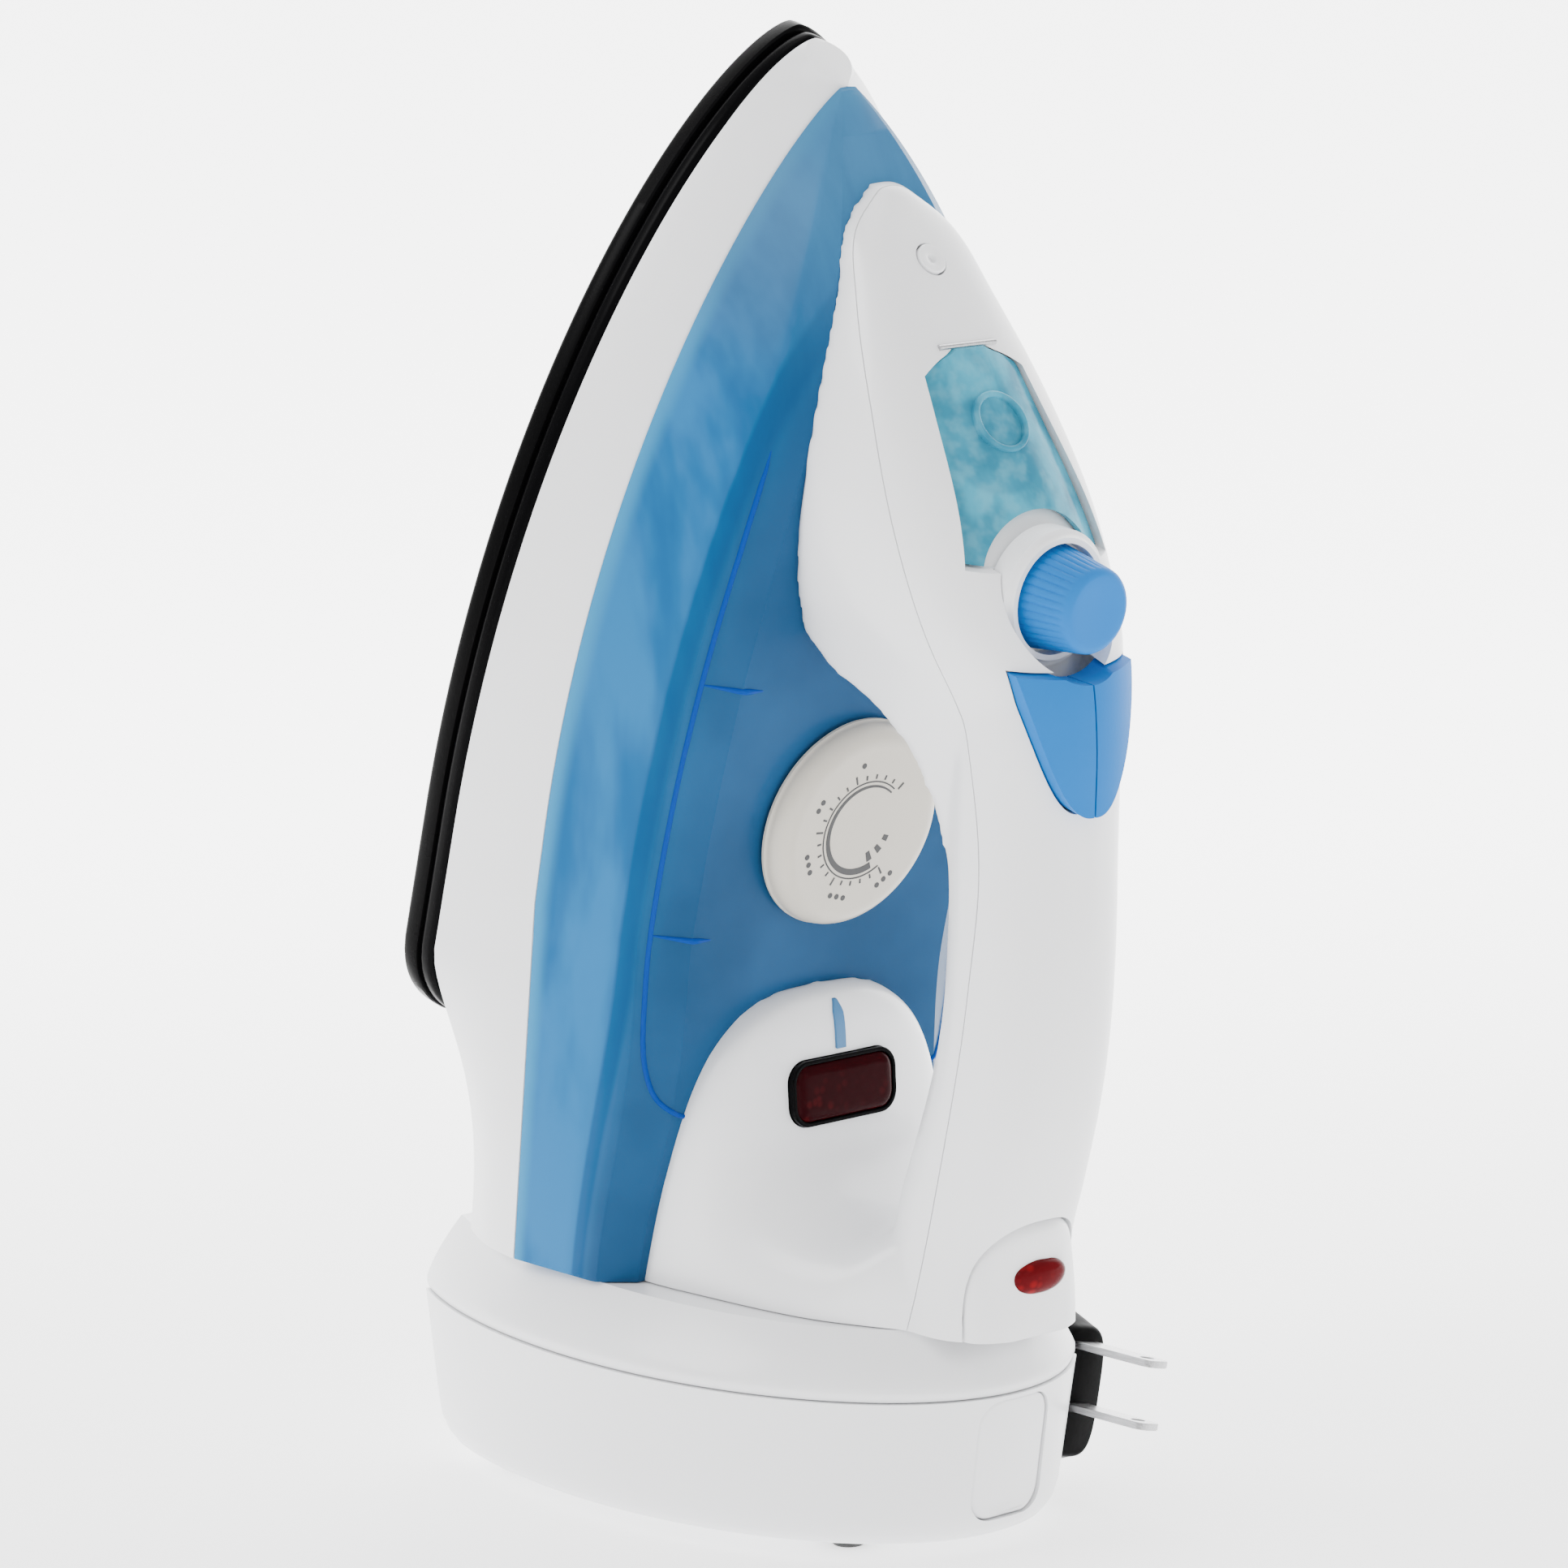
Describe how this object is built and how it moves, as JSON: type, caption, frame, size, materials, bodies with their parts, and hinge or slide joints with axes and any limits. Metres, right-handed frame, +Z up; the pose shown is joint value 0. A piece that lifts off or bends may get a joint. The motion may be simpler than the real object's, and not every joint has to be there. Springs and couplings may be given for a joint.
{
  "type": "clothes iron",
  "caption": "Steam iron standing on its heel: pointed soleplate, translucent water tank, dial, loop handle with spray and steam buttons, and a cord reel in the heel with a two-blade plug.",
  "frame": {"origin": "centre of the bounding box on the ground, with the iron standing on its heel", "axes": "+X from the sole towards the handle, +Y across the iron towards the parked plug, +Z up towards the nose"},
  "size_m": [0.1603, 0.124, 0.3],
  "materials": {
    "coated_sole": "black non-stick coating",
    "black_plastic": "gloss",
    "cast_aluminium": "as cast",
    "steel": "brushed",
    "brass": "satin",
    "lamp_glass": "glazed sleeve",
    "white_plastic": "gloss",
    "blue_tank": "translucent gloss",
    "dark_red": "translucent gloss",
    "neon_glass": "clear",
    "warm_white": "satin",
    "blue_plastic": "satin",
    "rubber": "matt",
    "teal_lid": "translucent gloss",
    "clear_hose": "smooth silicone",
    "red_lens": "translucent gloss",
    "black_nylon": "matt",
    "cord": "matt sheath",
    "plug_pvc": "satin"
  },
  "bodies": {
    "iron": {"soleplate": "coated_sole", "sole_band": "black_plastic", "heater_casting": "cast_aluminium", "heating_element": "steel", "steam_chamber_cover": "steel", "thermostat": "brass", "thermal_fuse": "lamp_glass", "skirt": "white_plastic", "water_tank": "blue_tank", "rear_housing": "white_plastic", "pilot_window": "dark_red", "pilot_lamp": "neon_glass", "handle_lower": "white_plastic", "handle_top": "white_plastic", "knob_collar": "white_plastic", "drip_valve_seal": "rubber", "lid_pin": "steel", "inlet_funnel": "blue_plastic", "spray_pump_barrel": "white_plastic", "steam_pump_barrel": "white_plastic", "spray_pump_spring": "steel", "steam_pump_spring": "steel", "spray_nozzle": "white_plastic", "spray_hose": "clear_hose", "steam_hose": "clear_hose", "rewind_spring": "steel", "reel_housing": "white_plastic", "reel_cover": "white_plastic", "reel_axle": "steel", "mainspring": "steel", "contact_brush_live": "brass", "contact_brush_neutral": "brass", "cord_grommet": "rubber", "pawl_pin": "steel", "end_panel": "white_plastic", "heel_peg_left": "white_plastic", "heel_peg_right": "white_plastic", "heel_foot_left": "rubber", "heel_foot_right": "rubber"},
    "dial": {"temperature_dial": "warm_white", "dial_shaft": "steel"},
    "steam_control": {"steam_knob": "blue_plastic", "steam_valve_rod": "steel"},
    "spray_trigger": {"spray_button": "blue_plastic", "spray_pump_piston": "white_plastic"},
    "steam_trigger": {"steam_button": "blue_plastic", "steam_pump_piston": "white_plastic"},
    "lid": {"inlet_lid": "teal_lid"},
    "rewind": {"rewind_button": "white_plastic", "rewind_lens": "red_lens", "release_rod": "white_plastic"},
    "pawl": {"brake_pawl": "steel"},
    "reel": {"cord_reel": "black_nylon", "wound_cord": "cord", "slip_ring": "brass"},
    "plug": {"plug_body": "plug_pvc", "plug_blade_upper": "steel", "plug_blade_lower": "steel", "cord_lead": "cord"}
  },
  "joints": [
    {"name": "dial_turn", "type": "hinge", "parent": "iron", "child": "dial", "pos_m": [0.00918, 0, 0.14125], "axis": [0.9659, 0, -0.2588], "range_deg": [-150, 150]},
    {"name": "steam_knob_turn", "type": "hinge", "parent": "iron", "child": "steam_control", "pos_m": [0.06603, 0, 0.1931], "axis": [0.9917, 0, -0.1288], "range_deg": [0, 90]},
    {"name": "spray_press", "type": "slide", "parent": "iron", "child": "spray_trigger", "axis": [-0.9659, 0, 0.2588], "range_m": [0, 0.0035], "stiffness_N_per_m": 500, "springref_m": -0.005},
    {"name": "steam_press", "type": "slide", "parent": "iron", "child": "steam_trigger", "axis": [-0.9659, 0, 0.2588], "range_m": [0, 0.0035], "stiffness_N_per_m": 500, "springref_m": -0.005},
    {"name": "lid_hinge", "type": "hinge", "parent": "iron", "child": "lid", "pos_m": [0.04298, 0, 0.23976], "axis": [0, -1, 0], "range_deg": [0, 95]},
    {"name": "rewind_press", "type": "slide", "parent": "iron", "child": "rewind", "axis": [-0.9659, 0, 0.2588], "range_m": [0, 0.003], "stiffness_N_per_m": 500, "springref_m": -0.005},
    {"name": "pawl_swing", "type": "hinge", "parent": "iron", "child": "pawl", "pos_m": [0.0326, -0.015, 0], "axis": [0, 0, 1], "range_deg": [-10.2, 0]},
    {"name": "reel_turn", "type": "hinge", "parent": "iron", "child": "reel", "pos_m": [-0.0179, 0, 0], "axis": [0, 0, 1], "range_deg": [-18.5, 0]},
    {"name": "plug_pull", "type": "slide", "parent": "iron", "child": "plug", "axis": [1, 0, 0], "range_m": [0, 0.0123]}
  ],
  "couplings": [
    {"joint": "pawl_swing", "follows": "rewind_press", "rad_per_m": -58},
    {"joint": "plug_pull", "follows": "reel_turn", "m_per_rad": -0.038}
  ]
}
